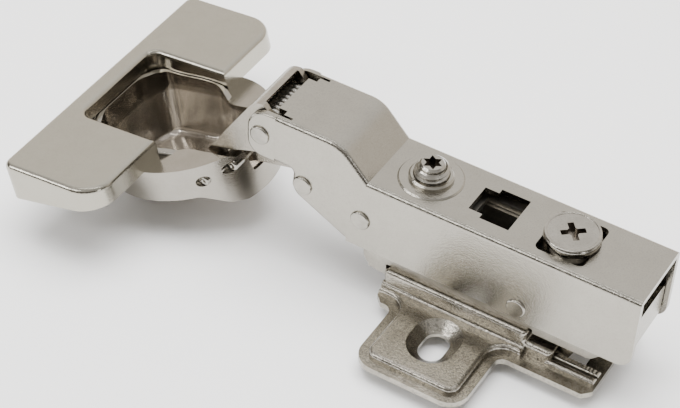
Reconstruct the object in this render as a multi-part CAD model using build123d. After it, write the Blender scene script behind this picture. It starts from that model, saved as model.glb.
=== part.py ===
from build123d import *
import os
from math import atan2, cos, degrees, hypot, radians, sin, sqrt, tan

os.makedirs("parts", exist_ok=True)

# Frame: origin on the panel face, midway between the plate's two screws; +X runs along the arm
# to its release lever, +Y across it, +Z away from the panel. Millimetres.

# ---- fits ----
RUN = 0.05                  # radial clearance of a pin that turns
SEAT = 0.01                 # radial clearance of a riveted pin
SLIP = 0.25                 # side clearance between nested channels
FREE = 0.3                  # clearance of a moving piece past a fixed one

# ---- mounting plate ----
PLATE_SHEET = 1.2
SCREW_SPACING = 32.0
SLOT_WIDTH = 5.0
SLOT_LENGTH = 7.3
SINK_WIDTH = 9.6
SINK_LENGTH = 11.9
SINK_RIM = 1.2
WING_LENGTH = 22.7
WING_SPAN = 54.8
WING_CORNER = 4.2
BODY_WIDTH = 23.6
BODY_FRONT = -15.6
BODY_REAR = 29.9
ROOT_RADIUS = 1.8
TAIL_CHAMFER = 1.6
RIM_WIDTH = 1.9
PLATEAU_RISE = 1.4
RIDGE_WIDTH = 16.8
RIDGE_TOP = 6.2
RIDGE_REAR = 14.8
RIDGE_BLEND = 0.6
SHELF_TOP = 4.0
SHELF_REAR = 20.3
TAIL_BEAD_WIDTH = 1.5
TAIL_BEAD_RISE = 1.0
TAIL_BEAD_SPACE = 0.4
TAIL_SLOT_HALF = 5.55
TAIL_SLOT_LENGTH = 5.6

# ---- arm ----
ARM_WIDTH = 16.4
ARM_SHEET = 1.2
ARM_TOP = 25.33
ARM_REAR = 35.2
ARM_FOOT = 8.6
FOOT_STEP_X = 7.0
FOOT_STEP = 0.5
FOLD_RADIUS = 1.1
CREASE_X = -20.5
CRANK_RISE = 6.36
CRANK_RUN = 6.2
CRANK_RADIUS = 6.0
UPPER_FRONT = -41.6
LUG_FRONT = -46.8
LUG_FOOT = 20.85
LUG_TOP_RADIUS = 4.6
LUG_FOOT_RADIUS = 3.4
CHIN_X = -36.9
CHIN_Z = 15.6
KEEL_X = -24.3
RELIEF_LENGTH = 3.8
RELIEF_WIDTH = 0.6
NOTCH_LENGTH = 1.8
NOTCH_WIDTH = 1.8
LUG_EDGE_RADIUS = 0.5

# ---- pins of the linkage, in the open position ----
OUTER_PIN = (-43.9, 26.1)
INNER_PIN = (-34.2, 18.2)
DAMPER_PIN = (-21.4, 15.9)
TILT_PIN = (12.0, 11.4)
PIN_R = 1.3
RIVET_HEAD_R = 2.05
RIVET_HEAD_H = 0.5

# ---- adjusting screws ----
SIDE_SCREW_X = -11.53
SEAT_R = 6.3
SEAT_RISE = 0.35
NUT_R = 4.3
NUT_SHANK_R = 3.4
NUT_RISE = 0.9
NUT_DISH_R = 3.5
NUT_DISH_DEPTH = 0.8
SIDE_SCREW_R = 2.5
SIDE_SCREW_TOP = 29.2
SIDE_NECK_R = 1.6
SIDE_FOOT_R = 2.8
SIDE_FOOT_H = 1.0
SIDE_STAR_R = 2.0
SIDE_STAR_DEPTH = 1.6
TILT_LIMIT = 2.0
DEPTH_SCREW_X = 17.57
DEPTH_HEAD_R = 5.35
DEPTH_HEAD_RISE = 1.76
DEPTH_HEAD_GAP = 0.5
DEPTH_NECK_R = 4.0
DEPTH_FLANGE_R = 5.0
DEPTH_FLANGE_H = 0.7
CAM_R = 3.0
CAM_THROW = 1.6
CAM_TURN = 60.0
CAM_PLAY = 0.12
DEPTH_JOURNAL_R = 2.2
CROSS_WIDTH = 1.2
CROSS_LENGTH = 4.7
CROSS_ANGLE = 40.0
CROSS_DEPTH = 1.3
KEY_FRONT = -1.9
KEY_REAR = 6.9
KEY_STEP_X = 0.96
KEY_NARROW = 6.7
KEY_WIDE = 9.06
KEY_VIEW = 0.5               # how far the openings below the key window stand back from it
SQUARE_LENGTH = 9.8
SQUARE_WIDTH = 11.74

# ---- inner channels ----
CARRIER_SHEET = 1.2
CARRIER_GAP = 1.4
CARRIER_FRONT = -15.6
CARRIER_REAR = 31.0
CARRIER_SEAT = 0.0
NOSE_FRONT = -21.0
NOSE_FOOT = 3.5
NOSE_TAB_END = -11.0
BRACKET_SHEET = 1.2
BRACKET_GAP = 0.2
BRACKET_FRONT = -14.0
BRACKET_REAR = 22.2
BRACKET_FOOT = 8.2

# ---- clip lever ----
LEVER_PIN = (26.6, 13.0)
LEVER_PIN_R = 1.2
LEVER_SHEET = 1.1
LEVER_SLIP = 0.35
LEVER_FACE_X = 34.2
LEVER_FACE_GAP = 0.4
LEVER_FACE_TOP = 17.5
LEVER_FACE_FOOT = 10.4
TOOTH_DEPTH = 0.9
LEVER_COIL_R = 2.1
LEVER_WIRE_R = 0.35
LEVER_TURNS = 4
LEVER_SPRING_LEG = 6.4

# ---- linkage ----
LINK_SHEET = 1.15
LINK_SLIP = 0.3
OUTER_EYE_R = 2.15
OUTER_WEB_OFFSET = 4.9
WEB_TAIL = (-4.8, -3.7)
WEB_BEND_X = 4.0
WEB_BEND_R = 20.0
WEB_SHORT = 0.8
WEB_TIP_RISE = 0.9
CUP_PIN_R = 1.1
INNER_LINK_WIDTH = 4.4
INNER_EYE_R = 2.2
INNER_WAIST = 3.2
HUB_SLOT_AHEAD = 1.75
HUB_SLOT_BEHIND = 1.1
HUB_SLOT_WIDTH = 3.3
HUB_SLOT_ANGLE = -52.8
HUB_SLOT_SHIFT = -0.1
HUB_WALL = 1.1
HEEL_REACH = 5.2
HEEL_R = 1.4
HEEL_ANGLE = -100.0

# ---- closing spring ----
SPRING_WIRE_R = 0.55
SPRING_COIL_R = 2.9
SPRING_TURNS = 8
SPRING_LEG = 8.0

# ---- damper ----
DAMPER_R = 2.8
DAMPER_Z = 12.7
DAMPER_FRONT = -27.9
DAMPER_REAR = -19.4
DAMPER_EYE_R = 2.5
DAMPER_EYE_WIDTH = 4.6
DAMPER_ROD_R = 0.9
DAMPER_HEAD_R = 1.3
DAMPER_HEAD_H = 1.0
DAMPER_TRAVEL = 3.0

# ---- cup, in its own frame: u towards the arm, n out of the door ----
CUP_X = -66.35
CUP_Z = 12.65
OPEN_TILT = 15.62
CUP_R = 17.5
SKIRT_R = 17.3
CUP_DEPTH = 11.4
CUP_SHEET = 0.9
SKIRT_DEPTH = 6.8
SKIRT_SHALLOW_HALF = 13.4
SKIRT_DEEP_HALF = 5.7
WELL_MOUTH = {"back": 15.2, "back_half": 5.6, "corner": 12.6, "side": 11.5, "neck": 7.9}
WELL_FLOOR = {"back": 13.4, "back_half": 4.8, "corner": 11.8, "side": 9.2, "neck": 6.3}
NECK_START = 0.5
NECK_END = 5.9
WELL_FLOOR_RADIUS = 1.6
BEAD_WIDTH = 1.6
BEAD_ROUND = 0.7
BEAD_BACK = 3.9
BEAD_CORNER = 2.8
BEAD_SIDE = 2.3
BEAD_END = 4.2
FLANGE_SHEET = 1.0
FLANGE_HALF = 30.3
FLANGE_BACK = -12.4
FLANGE_FRONT = 0.4
CUP_HOLE_SPACING = 48.0
CUP_HOLE_OFFSET = -6.0
CUP_HOLE_R = 2.1
CUP_OUTER_PIN = (12.0, -3.6)
CUP_INNER_PIN = (15.6, -2.8)
CUP_PIN_SINK = 0.3
MOUTH_FLOOR = -6.4
MOUTH_HALF = 3.0
MOUTH_WAIST = 3.66
MOUTH_SHOULDER = -1.2
MOUTH_TOP_HALF = 8.2

# ---- cup cover ----
COVER_SHEET = 0.8
COVER_HALF = 32.1
COVER_BACK = -19.6
COVER_FRONT = 2.2
COVER_BACK_TOP = 8.05
COVER_FRONT_TOP = 4.25
COVER_CUT_HALF = 12.0
COVER_CUT_BACK = -15.5
COVER_GAP = 0.2
COVER_FRONT_RADIUS = 6.0
COVER_BACK_RADIUS = 2.2
COVER_CUT_RADIUS = 2.4
COVER_EDGE_RADIUS = 1.1

# ---- what follows from the sizes above ----
ARM_INNER = ARM_WIDTH / 2 - ARM_SHEET
ARM_CEILING = ARM_TOP - ARM_SHEET
OUTER_LINK_WIDTH = 2 * (ARM_INNER - LINK_SLIP)
LEVER_FACE_WIDTH = 2 * (ARM_INNER - LEVER_FACE_GAP)
CARRIER_HALF = ARM_INNER - SLIP
CARRIER_INNER = CARRIER_HALF - CARRIER_SHEET
LEVER_WIDTH = 2 * (CARRIER_INNER - LEVER_SLIP)
CARRIER_TOP = ARM_CEILING - CARRIER_GAP
CARRIER_CEILING = CARRIER_TOP - CARRIER_SHEET
BRACKET_HALF = CARRIER_INNER - SLIP
BRACKET_INNER = BRACKET_HALF - BRACKET_SHEET
BRACKET_TOP = CARRIER_CEILING - BRACKET_GAP
BRACKET_CEILING = BRACKET_TOP - BRACKET_SHEET
DEPTH_TRAVEL = CAM_THROW * sin(radians(CAM_TURN))
SIDE_TRAVEL = (TILT_PIN[0] - SIDE_SCREW_X) * sin(radians(TILT_LIMIT))
TILT_SWAY = (ARM_TOP - TILT_PIN[1]) * sin(radians(TILT_LIMIT))
UPPER_TOP = ARM_TOP + CRANK_RISE
CREASE_SHIFT = ARM_SHEET * tan(atan2(CRANK_RISE, CRANK_RUN) / 2)
CUP_PLACE = Pos(CUP_X, 0, CUP_Z) * Rot(0, -OPEN_TILT, 0)


def cup_to_row(u, n):
    """Row-frame (x, z) of a point of the cup's own frame in the open position."""
    tilt = radians(OPEN_TILT)
    return (CUP_X + u * cos(tilt) - n * sin(tilt), CUP_Z + u * sin(tilt) + n * cos(tilt))


def rounded(points, radii):
    """Closed outline through points with a corner radius at each, as a face."""
    face = make_face(Polyline(*points, close=True))
    for point, radius in zip(points, radii):
        if radius > 0:
            corner = face.vertices().sort_by_distance(Vector(*point))[0]
            face = fillet(corner, radius)
    return face


def across(face, half):
    """Side profile in (x, z), extruded to +-half along Y."""
    return extrude(Plane.XZ * face, amount=half, both=True)


def slab(face, y_low, y_high):
    """Side profile in (x, z), extruded from y_low to y_high."""
    return Pos(0, y_high, 0) * extrude(Plane.XZ * face, amount=y_high - y_low)


def cheeks(face, outer, sheet):
    """The same side profile as two walls of a channel, outer faces at +-outer."""
    return slab(face, outer - sheet, outer) + slab(face, -outer, sheet - outer)


def block(x_low, x_high, half, z_low, z_high):
    """Box centred on the XZ plane."""
    size_x, size_z = x_high - x_low, z_high - z_low
    return Pos(x_low + size_x / 2, 0, z_low + size_z / 2) * Box(size_x, 2 * half, size_z)


def bar(place, radius, y_low, y_high):
    """Round bar along Y at (x, z)."""
    middle = (y_low + y_high) / 2
    return Pos(place[0], middle, place[1]) * Rot(90, 0, 0) * Cylinder(radius, y_high - y_low)


def bore(place, radius, half=40.0):
    """Cutter for a hole along Y at (x, z)."""
    return bar(place, radius, -half, half)


def post(x, radius, z_low, z_high, y=0.0):
    """Round bar along Z."""
    return Pos(x, y, (z_low + z_high) / 2) * Cylinder(radius, z_high - z_low)


def riveted_pin(place, radius, half, head_r, head_h):
    """Pin along Y with a low domed head on each end."""
    pin = bar(place, radius, -half, half)
    for side in (-1, 1):
        head = Pos(place[0], side * (half + head_h / 2), place[1]) * Rot(90 * side, 0, 0)
        dome = Cylinder(head_r, head_h)
        rim = dome.edges().filter_by(GeomType.CIRCLE).sort_by(Axis.Z)[0]
        pin += head * fillet(rim, head_h * 0.8)
    return pin


def obround(length, width):
    """Slot outline, its length along Y."""
    return Rot(0, 0, 90) * SlotOverall(length, width)


def coil(wire_r, coil_r, turns, half):
    """Close torsion coil about the Y axis, spread over +-half."""
    pitch = (2 * half - 2 * wire_r) / turns
    path = Helix(pitch, pitch * turns, coil_r)
    start = Plane(path @ 0, z_dir=path % 0)
    turn = sweep(start * Circle(wire_r), path=path)
    return Rot(90, 0, 0) * Pos(0, 0, -pitch * turns / 2) * turn


def pressed_outline(inset):
    """Outline of the plate's raised middle, inset from the edge of the wings and the body."""
    wing = Rectangle(WING_LENGTH - 2 * inset, WING_SPAN - 2 * inset)
    wing = fillet(wing.vertices(), WING_CORNER - RIM_WIDTH)
    body = Pos((BODY_FRONT + RIDGE_REAR) / 2, 0) * Rectangle(RIDGE_REAR - BODY_FRONT, BODY_WIDTH - 2 * inset)
    outline = wing + body
    roots = [v for v in outline.vertices() if abs(abs(v.X) - WING_LENGTH / 2 + inset) < 0.01
             and abs(abs(v.Y) - BODY_WIDTH / 2 + inset) < 0.01]
    return fillet(roots, ROOT_RADIUS + inset)


def make_mounting_plate():
    half_span, half_body = WING_SPAN / 2, BODY_WIDTH / 2
    wing = Rectangle(WING_LENGTH, WING_SPAN)
    wing = fillet(wing.vertices(), WING_CORNER)
    body = Pos((BODY_FRONT + BODY_REAR) / 2, 0) * Rectangle(BODY_REAR - BODY_FRONT, BODY_WIDTH)
    body = chamfer(body.vertices(), TAIL_CHAMFER)
    outline = wing + body
    roots = [v for v in outline.vertices()
             if abs(abs(v.X) - WING_LENGTH / 2) < 0.01 and abs(abs(v.Y) - half_body) < 0.01]
    outline = fillet(roots, ROOT_RADIUS)
    plate = extrude(outline, PLATE_SHEET)

    plateau_top = PLATE_SHEET + PLATEAU_RISE
    plateau = extrude(pressed_outline(RIM_WIDTH), plateau_top)
    ridge_half = RIDGE_WIDTH / 2
    shoulder = half_body - RIM_WIDTH - ridge_half - RIDGE_BLEND
    plateau = fillet(plateau.faces().sort_by(Axis.Z)[-1].edges(), shoulder)
    plate = plate + plateau - extrude(pressed_outline(RIM_WIDTH + PLATE_SHEET), PLATEAU_RISE)

    ridge = rounded(
        [(BODY_FRONT, 0), (BODY_FRONT, RIDGE_TOP), (RIDGE_REAR, RIDGE_TOP), (RIDGE_REAR, SHELF_TOP),
         (SHELF_REAR, SHELF_TOP), (SHELF_REAR, 0)],
        [0, 1.0, 0.6, 0.4, 0.4, 0])
    ridge = across(ridge, ridge_half)
    crown = [e for e in ridge.edges() if abs(abs(e.center().Y) - ridge_half) < 0.01
             and e.center().Z > SHELF_TOP - 0.5 and e.length > 5]
    ridge = fillet(crown, 1.0)
    inner = ridge_half - PLATE_SHEET
    tunnel = across(
        make_face(Polyline(
            (BODY_FRONT - 1, -1), (BODY_FRONT - 1, RIDGE_TOP - PLATE_SHEET),
            (RIDGE_REAR - PLATE_SHEET, RIDGE_TOP - PLATE_SHEET),
            (RIDGE_REAR - PLATE_SHEET, SHELF_TOP - PLATE_SHEET),
            (SHELF_REAR + 1, SHELF_TOP - PLATE_SHEET), (SHELF_REAR + 1, -1), close=True)),
        inner)
    foot = rounded(
        [(ridge_half - 1, 0), (ridge_half + RIDGE_BLEND, 0), (ridge_half + RIDGE_BLEND, plateau_top),
         (ridge_half, plateau_top), (ridge_half, plateau_top + RIDGE_BLEND),
         (ridge_half - 1, plateau_top + RIDGE_BLEND)],
        [0, 0, 0, RIDGE_BLEND * 0.999, 0, 0])
    foot = Pos(BODY_FRONT, 0, 0) * extrude(Plane.YZ * foot, RIDGE_REAR - BODY_FRONT)
    plate = plate + ridge + foot + mirror(foot, about=Plane.XZ) - tunnel

    sink_depth = plateau_top - PLATE_SHEET * 0.6
    throw = (SLOT_LENGTH - SLOT_WIDTH) / 2
    wedge = make_face(Polyline(
        (-SLOT_WIDTH / 2, 0), (SLOT_WIDTH / 2, 0), (SINK_WIDTH / 2, sink_depth), (-SINK_WIDTH / 2, sink_depth),
        close=True))
    funnel = across(wedge, throw)
    for end in (-throw, throw):
        funnel += Pos(0, end, sink_depth / 2) * Cone(SLOT_WIDTH / 2, SINK_WIDTH / 2, sink_depth)
    for side in (-1, 1):
        place = Pos(0, side * SCREW_SPACING / 2, 0)
        plate += extrude(place * obround(SINK_LENGTH + SINK_RIM, SINK_WIDTH + SINK_RIM), plateau_top)
        plate -= Pos(0, 0, plateau_top - sink_depth) * place * funnel
        plate -= extrude(place * obround(SLOT_LENGTH, SLOT_WIDTH), plateau_top)

    plate -= block(SHELF_REAR - 1, SHELF_REAR + TAIL_SLOT_LENGTH, TAIL_SLOT_HALF, -1, PLATE_SHEET + 1)
    bead_front, bead_rear = SHELF_REAR - 1, BODY_REAR - 0.5
    for row in (0, 1):
        bead_y = TAIL_SLOT_HALF + TAIL_BEAD_WIDTH / 2 + row * (TAIL_BEAD_WIDTH + TAIL_BEAD_SPACE)
        bead = Box(bead_rear - bead_front, TAIL_BEAD_WIDTH, 2 * TAIL_BEAD_RISE)
        bead = fillet(bead.edges().group_by(Axis.Z)[-1], TAIL_BEAD_WIDTH * 0.4)
        for side in (-1, 1):
            plate += Pos((bead_front + bead_rear) / 2, side * bead_y, PLATE_SHEET) * bead
    return plate


def arm_profile():
    """Outlines of the arm's lower channel, cranked front and lugs, and of the space inside it."""
    slope = (CRANK_RUN, -CRANK_RISE)
    crank_x = CREASE_X - CRANK_RUN
    lower = rounded(
        [(ARM_REAR, ARM_TOP), (ARM_REAR, ARM_FOOT), (FOOT_STEP_X + 0.5, ARM_FOOT),
         (FOOT_STEP_X - 0.5, ARM_FOOT + FOOT_STEP), (KEEL_X, ARM_FOOT + FOOT_STEP), (KEEL_X, ARM_TOP)],
        [0, 3.0, 0.4, 0.4, 0, 0])
    dive = 0.8
    upper = rounded(
        [(UPPER_FRONT, UPPER_TOP), (crank_x, UPPER_TOP),
         (CREASE_X + dive * slope[0], ARM_TOP + dive * slope[1]),
         (CREASE_X + dive * slope[0], ARM_FOOT + FOOT_STEP), (KEEL_X, ARM_FOOT + FOOT_STEP),
         (CHIN_X, CHIN_Z), (CHIN_X + 0.3, LUG_FOOT), (UPPER_FRONT, LUG_FOOT)],
        [0, CRANK_RADIUS, 0, 0, 5.0, 3.2, 1.1, 0])
    lug = rounded(
        [(UPPER_FRONT + 1.0, LUG_FOOT), (LUG_FRONT, LUG_FOOT), (LUG_FRONT, UPPER_TOP),
         (UPPER_FRONT + 1.0, UPPER_TOP)],
        [0, LUG_FOOT_RADIUS, LUG_TOP_RADIUS, 0])
    hollow = make_face(Polyline(
        (ARM_REAR + 5, ARM_CEILING), (CREASE_X - CREASE_SHIFT, ARM_CEILING),
        (crank_x - CREASE_SHIFT, UPPER_TOP - ARM_SHEET), (LUG_FRONT - 5, UPPER_TOP - ARM_SHEET),
        (LUG_FRONT - 5, -5), (ARM_REAR + 5, -5), close=True))
    return lower, upper, lug, hollow


def fold_edges(solid, half, z_low):
    """The long edges of a channel's web, where the sheet is folded."""
    return solid.edges().filter_by(
        lambda e: abs(abs(e.center().Y) - half) < 0.01 and e.bounding_box().min.Z > z_low)


def make_arm():
    half = ARM_WIDTH / 2
    lower, upper, lug, hollow = arm_profile()
    rear = across(lower, half)
    rear = fillet(fold_edges(rear, half, ARM_TOP - 0.01), FOLD_RADIUS)
    front = across(upper, half)
    slope_foot = ARM_TOP - 0.85 * CRANK_RISE
    front = fillet(fold_edges(front, half, slope_foot), FOLD_RADIUS)
    lugs = across(lug, half)
    lugs = fillet(fold_edges(lugs, half, 0).filter_by(lambda e: e.center().X < UPPER_FRONT), LUG_EDGE_RADIUS)
    arm = rear + front + lugs
    seat = post(SIDE_SCREW_X, SEAT_R, ARM_TOP - ARM_SHEET / 2, ARM_TOP + SEAT_RISE)
    seat = chamfer(seat.faces().sort_by(Axis.Z)[-1].edges(), SEAT_RISE * 0.8)
    arm += seat
    arm -= across(hollow, ARM_INNER)
    arm -= block(LUG_FRONT - 5, UPPER_FRONT, ARM_INNER, 0, UPPER_TOP + 5)

    for side in (-1, 1):
        slit_y = ARM_INNER - RELIEF_WIDTH / 2
        slit = Pos(UPPER_FRONT + RELIEF_LENGTH / 2, side * slit_y, UPPER_TOP)
        arm -= slit * Box(RELIEF_LENGTH, RELIEF_WIDTH, 4 * ARM_SHEET)
        notch = Pos(UPPER_FRONT + NOTCH_LENGTH / 2, side * (ARM_INNER - NOTCH_WIDTH / 2), UPPER_TOP)
        arm -= notch * Box(NOTCH_LENGTH, NOTCH_WIDTH, 4 * ARM_SHEET)

    arm -= post(SIDE_SCREW_X, NUT_SHANK_R + SEAT, ARM_CEILING - 1, ARM_TOP + 2)
    key = make_face(Polyline(
        (KEY_FRONT, -KEY_NARROW / 2), (KEY_STEP_X, -KEY_NARROW / 2), (KEY_STEP_X, -KEY_WIDE / 2),
        (KEY_REAR, -KEY_WIDE / 2), (KEY_REAR, KEY_WIDE / 2), (KEY_STEP_X, KEY_WIDE / 2),
        (KEY_STEP_X, KEY_NARROW / 2), (KEY_FRONT, KEY_NARROW / 2), close=True))
    arm -= Pos(0, 0, ARM_CEILING - 1) * extrude(key, ARM_SHEET + 2)
    square = Pos(DEPTH_SCREW_X, 0) * RectangleRounded(SQUARE_LENGTH, SQUARE_WIDTH, 1.2)
    arm -= Pos(0, 0, ARM_CEILING - 1) * extrude(square, ARM_SHEET + 2)

    for place in (OUTER_PIN, INNER_PIN, DAMPER_PIN, TILT_PIN):
        arm -= bore(place, PIN_R + SEAT)
    return arm


def make_side_nut():
    foot = ARM_TOP - ARM_SHEET - 0.4
    top = ARM_TOP + SEAT_RISE + NUT_RISE
    crown = post(SIDE_SCREW_X, NUT_R, ARM_TOP + SEAT_RISE, top)
    crown = chamfer(crown.faces().sort_by(Axis.Z)[-1].edges(), 0.35)
    nut = crown + post(SIDE_SCREW_X, NUT_SHANK_R, foot, top - 0.5)
    nut += post(SIDE_SCREW_X, NUT_SHANK_R + 0.6, foot, ARM_CEILING)
    dish = Cone(SIDE_SCREW_R + RUN, NUT_DISH_R, NUT_DISH_DEPTH)
    nut -= Pos(SIDE_SCREW_X, 0, top - NUT_DISH_DEPTH / 2) * dish
    return nut - post(SIDE_SCREW_X, SIDE_SCREW_R + RUN, foot - 1, top + 1)


def make_side_screw():
    shoulder = CARRIER_TOP + SIDE_TRAVEL + 0.3
    foot_top = BRACKET_CEILING - SIDE_TRAVEL - 0.1
    shank = post(SIDE_SCREW_X, SIDE_SCREW_R, shoulder, SIDE_SCREW_TOP)
    shank = chamfer(shank.faces().sort_by(Axis.Z)[-1].edges(), 0.4)
    screw = shank + post(SIDE_SCREW_X, SIDE_NECK_R, foot_top - SIDE_FOOT_H / 2, shoulder + 0.5)
    screw += post(SIDE_SCREW_X, SIDE_FOOT_R, foot_top - SIDE_FOOT_H, foot_top)
    star = RegularPolygon(SIDE_STAR_R, 3) + Rot(0, 0, 60) * RegularPolygon(SIDE_STAR_R, 3)
    recess = extrude(Pos(SIDE_SCREW_X, 0, SIDE_SCREW_TOP - SIDE_STAR_DEPTH) * star, SIDE_STAR_DEPTH + 1)
    return screw - recess


def make_depth_screw():
    head_foot = ARM_TOP + DEPTH_HEAD_GAP
    head_top = ARM_TOP + DEPTH_HEAD_RISE
    flange_foot = CARRIER_TOP + 0.1
    flange_top = flange_foot + DEPTH_FLANGE_H
    head = post(DEPTH_SCREW_X, DEPTH_HEAD_R, head_foot, head_top)
    head = fillet(head.faces().sort_by(Axis.Z)[-1].edges(), 0.8)
    screw = head + post(DEPTH_SCREW_X, DEPTH_NECK_R, flange_foot + 0.2, head_foot + 0.2)
    screw += post(DEPTH_SCREW_X, DEPTH_FLANGE_R, flange_foot, flange_top)
    cam_foot = BRACKET_TOP + 0.08
    screw += post(DEPTH_SCREW_X, CAM_R, cam_foot, flange_foot + 0.2, y=CAM_THROW)
    rivet_top = BRACKET_CEILING - 0.05
    screw += post(DEPTH_SCREW_X, DEPTH_JOURNAL_R, rivet_top - 0.4, cam_foot + 0.1)
    screw += post(DEPTH_SCREW_X, DEPTH_JOURNAL_R + 0.8, rivet_top - 0.8, rivet_top)
    cross = Rectangle(CROSS_LENGTH, CROSS_WIDTH) + Rectangle(CROSS_WIDTH, CROSS_LENGTH) + Circle(1.1)
    cross = Pos(DEPTH_SCREW_X, 0, head_top - CROSS_DEPTH) * Rot(0, 0, CROSS_ANGLE) * cross
    recess = extrude(cross, CROSS_DEPTH + 1)
    return screw - recess


def make_carrier():
    seat = RIDGE_TOP + CARRIER_SEAT
    rear_foot = SHELF_TOP + 1.2
    side = rounded(
        [(NOSE_FRONT, NOSE_FOOT), (NOSE_FRONT, seat + 2.0), (CARRIER_FRONT, ARM_FOOT + 3.4),
         (CARRIER_FRONT, CARRIER_TOP), (CARRIER_REAR, CARRIER_TOP), (CARRIER_REAR, rear_foot + 4.0),
         (CARRIER_REAR - 4.0, rear_foot), (RIDGE_REAR + 0.4, rear_foot), (RIDGE_REAR + 0.4, seat),
         (BODY_FRONT - 0.4, seat), (BODY_FRONT - 0.4, NOSE_FOOT)],
        [3.6, 1.0, 1.5, 0, 0, 1.5, 1.5, 0.3, 0.3, 0.3, 0])
    walls = cheeks(side, CARRIER_HALF, CARRIER_SHEET)
    roof = block(CARRIER_FRONT, CARRIER_REAR, CARRIER_HALF, CARRIER_CEILING, CARRIER_TOP)
    roof = fillet([e for e in roof.edges().filter_by(Axis.X) if e.center().Z > CARRIER_TOP - 0.1], 0.9)
    shell = walls + roof
    corners = across(make_face(Polyline(
        (CARRIER_FRONT - 1, CARRIER_TOP - 0.9), (CARRIER_FRONT - 1, CARRIER_TOP + 1),
        (CARRIER_REAR + 1, CARRIER_TOP + 1), (CARRIER_REAR + 1, CARRIER_TOP - 0.9), close=True)), 20)
    shell = shell - (corners - roof - block(-99, 99, CARRIER_INNER, 0, 60))
    tab_half = RIDGE_WIDTH / 2 - PLATE_SHEET - SLIP
    tab_low = NOSE_FOOT
    tab_high = RIDGE_TOP - PLATE_SHEET - 0.1
    tab = block(NOSE_FRONT + 1.2, NOSE_TAB_END, min(tab_half, CARRIER_HALF), tab_high - 1.1, tab_high)
    shell += tab
    shell += block(NOSE_FRONT + 1.2, BODY_FRONT - 0.4, CARRIER_INNER + 0.2, tab_high - 1.1, tab_low + 1.2)

    reach = DEPTH_TRAVEL + TILT_SWAY
    neck = 2 * (SIDE_NECK_R + reach + RUN)
    shell -= Pos(SIDE_SCREW_X, 0, CARRIER_TOP) * extrude(
        SlotOverall(neck, 2 * SIDE_NECK_R + 0.6), amount=2 * CARRIER_SHEET, both=True)
    cam_length = 2 * (CAM_R + CAM_PLAY)
    cam_width = 2 * (CAM_R + CAM_THROW + CAM_PLAY)
    cam = RectangleRounded(cam_length, cam_width, 0.5)
    shell -= Pos(DEPTH_SCREW_X, 0, CARRIER_TOP) * extrude(cam, amount=2 * CARRIER_SHEET, both=True)
    slot = SlotOverall(2 * (PIN_R + DEPTH_TRAVEL + FREE), 2 * (PIN_R + RUN))
    shell -= Pos(TILT_PIN[0], 0, TILT_PIN[1]) * across(slot, 20)
    shell -= bore(LEVER_PIN, LEVER_PIN_R + SEAT)
    key = block(KEY_FRONT + KEY_VIEW, KEY_REAR - KEY_VIEW, KEY_WIDE / 2 - KEY_VIEW, CARRIER_CEILING - 1,
                CARRIER_TOP + 1)
    return shell - key


def make_adjuster_bracket():
    side = rounded(
        [(BRACKET_FRONT, BRACKET_TOP), (BRACKET_FRONT, BRACKET_FOOT + 6.0),
         (BRACKET_FRONT + 6, BRACKET_FOOT), (BRACKET_REAR - 2.5, BRACKET_FOOT),
         (BRACKET_REAR, BRACKET_FOOT + 4.0), (BRACKET_REAR, BRACKET_TOP)],
        [0, 1.5, 1.5, 1.0, 1.0, 0])
    body = across(side, BRACKET_HALF)
    body = fillet([e for e in body.edges().filter_by(Axis.X) if e.center().Z > BRACKET_TOP - 0.1], 0.9)
    body -= block(BRACKET_FRONT - 1, BRACKET_REAR + 1, BRACKET_INNER, 0, BRACKET_CEILING)
    sway = SIDE_NECK_R + TILT_SWAY + 0.15
    body -= Pos(SIDE_SCREW_X, 0, BRACKET_TOP) * extrude(
        SlotOverall(2 * sway, 2 * SIDE_NECK_R + 0.5), amount=2 * BRACKET_SHEET, both=True)
    body -= post(DEPTH_SCREW_X, DEPTH_JOURNAL_R + RUN, BRACKET_CEILING - 1, BRACKET_TOP + 1)
    body -= block(KEY_FRONT, KEY_REAR, KEY_NARROW / 2, BRACKET_CEILING - 1, BRACKET_TOP + 1)
    return body - bore(TILT_PIN, PIN_R + RUN)


def make_clip_lever():
    px, pz = LEVER_PIN
    tooth_low = SHELF_TOP - PLATE_SHEET - FREE - 1.1
    tooth_high = SHELF_TOP - PLATE_SHEET - FREE
    leg_x = SHELF_REAR + FREE
    leg = rounded(
        [(px + 2.2, pz + 2.4), (px + 2.2, pz - 3.0), (leg_x + 3.6, tooth_low + 4.0),
         (leg_x + 1.8, tooth_low), (SHELF_REAR - TOOTH_DEPTH, tooth_low), (SHELF_REAR - TOOTH_DEPTH, tooth_high),
         (leg_x, tooth_high), (leg_x, BRACKET_FOOT - 1.6), (px - 2.3, pz - 3.0), (px - 2.3, pz + 2.4)],
        [2.0, 1.0, 1.0, 0.4, 0.2, 0.2, 0, 1.0, 1.0, 2.0])
    half = LEVER_WIDTH / 2
    lever = cheeks(leg, half, LEVER_SHEET)
    face_low = LEVER_FACE_X - LEVER_SHEET
    strap = make_face(Polyline(
        (px, pz + 2.3), (face_low + 0.5, LEVER_FACE_TOP), (face_low + 0.5, LEVER_FACE_FOOT),
        (px + 1.5, pz - 2.0), close=True))
    lever += cheeks(strap, half, LEVER_SHEET)
    lever += block(SHELF_REAR - TOOTH_DEPTH, leg_x + 1.2, half, tooth_low, tooth_high)
    face = block(face_low, LEVER_FACE_X, LEVER_FACE_WIDTH / 2, LEVER_FACE_FOOT, LEVER_FACE_TOP)
    face = fillet(face.edges().filter_by(Axis.X), 1.0)
    lever += face
    return lever - bore(LEVER_PIN, LEVER_PIN_R + RUN)


def make_lever_pin():
    return bar(LEVER_PIN, LEVER_PIN_R, -CARRIER_HALF, CARRIER_HALF)


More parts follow.
